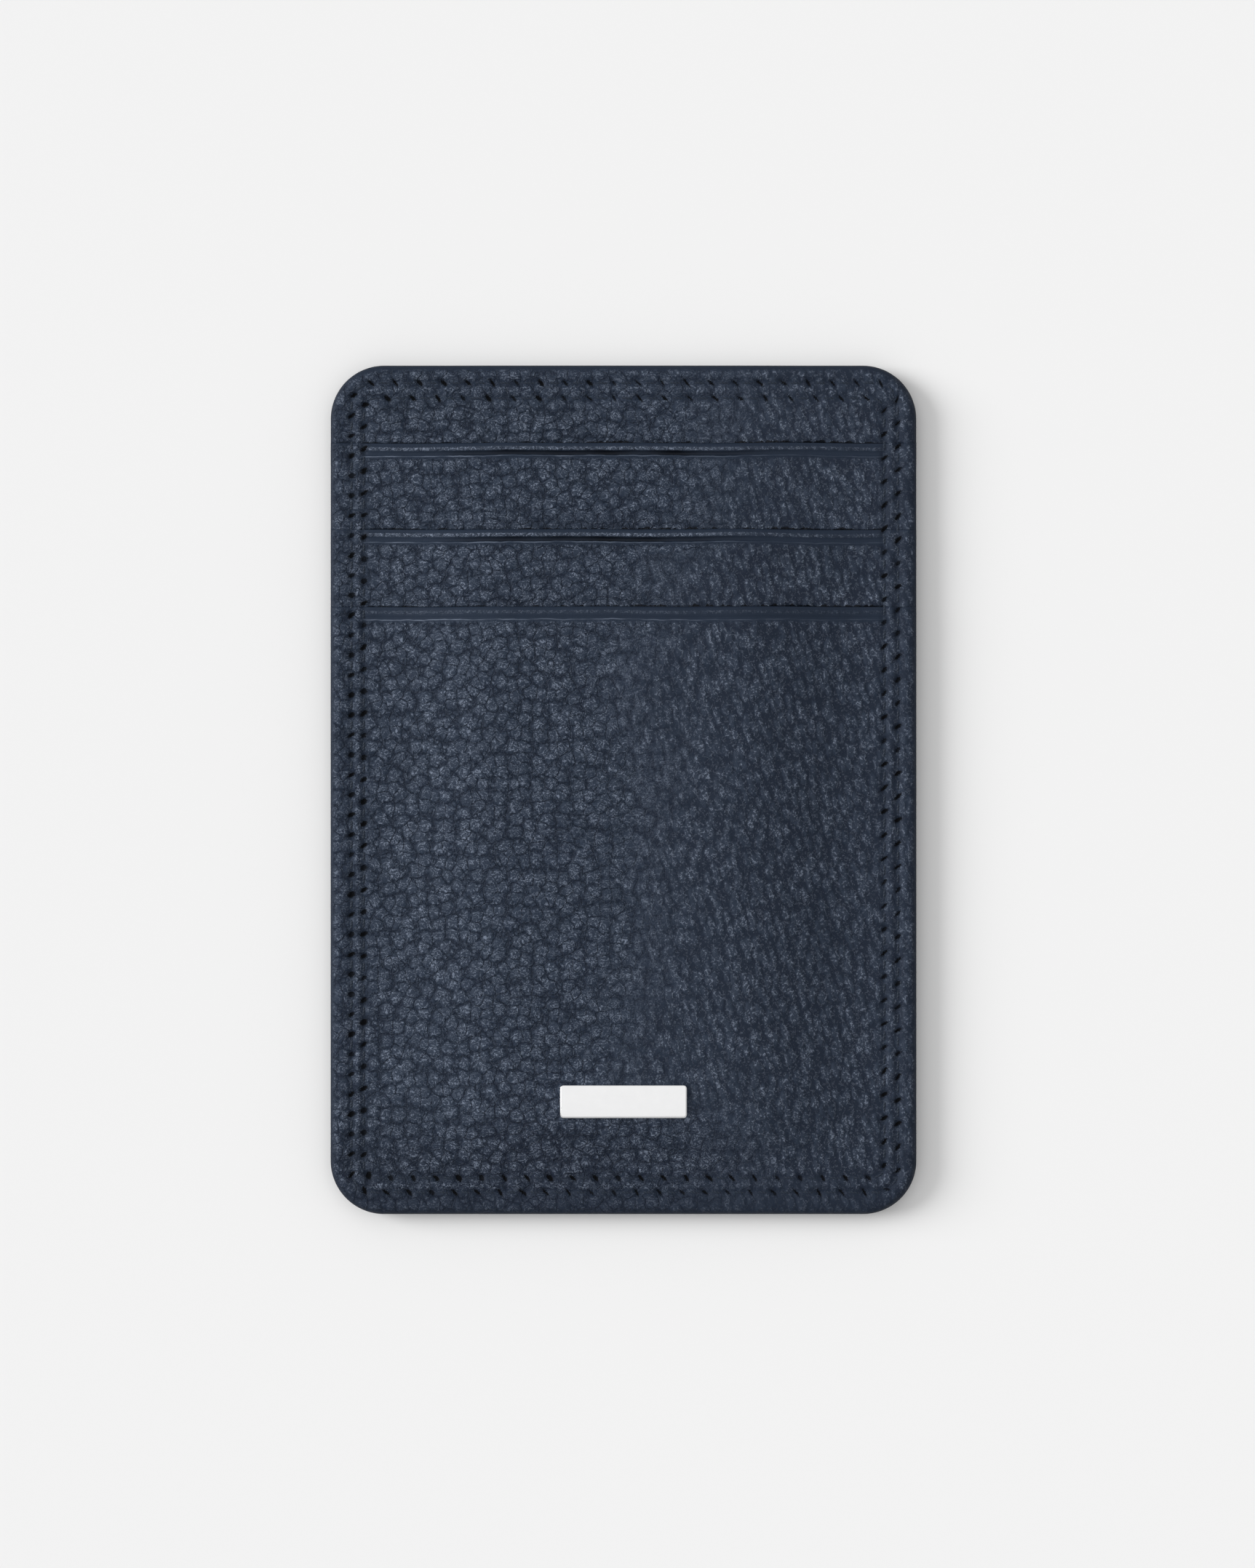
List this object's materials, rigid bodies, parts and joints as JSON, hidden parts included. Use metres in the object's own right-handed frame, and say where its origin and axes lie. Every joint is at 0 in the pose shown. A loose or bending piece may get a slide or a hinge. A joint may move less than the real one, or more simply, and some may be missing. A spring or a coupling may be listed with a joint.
{
  "type": "card holder",
  "caption": "Flat leather card holder with stacked open card pockets down its front, stitched all round, with a small blank metal plate.",
  "frame": {"origin": "centre of the back cover's resting face", "axes": "+X across the holder, +Y towards its top edge, +Z out of its front"},
  "size_m": [0.069, 0.1, 0.0086],
  "materials": {
    "leather": "dark navy pebbled, semi-matt",
    "lining": "woven twill, matt",
    "board": "bonded fibre board, matt",
    "thread": "bonded twisted thread, soft sheen",
    "plate": "polished"
  },
  "bodies": {
    "root": {"back_cover": "leather", "top_panel": "leather", "slot_1_panel": "leather", "slot_2_panel": "leather", "front_panel": "leather", "back_stiffener": "board", "base_lining": "lining", "slot_1_lining": "lining", "slot_2_lining": "lining", "front_lining": "lining", "name_plate": "plate", "front_outer_stitching": "thread", "front_inner_stitching": "thread", "back_outer_stitching": "thread", "back_inner_stitching": "thread", "slot_1_seam": "thread", "slot_2_seam": "thread"}
  },
  "joints": []
}
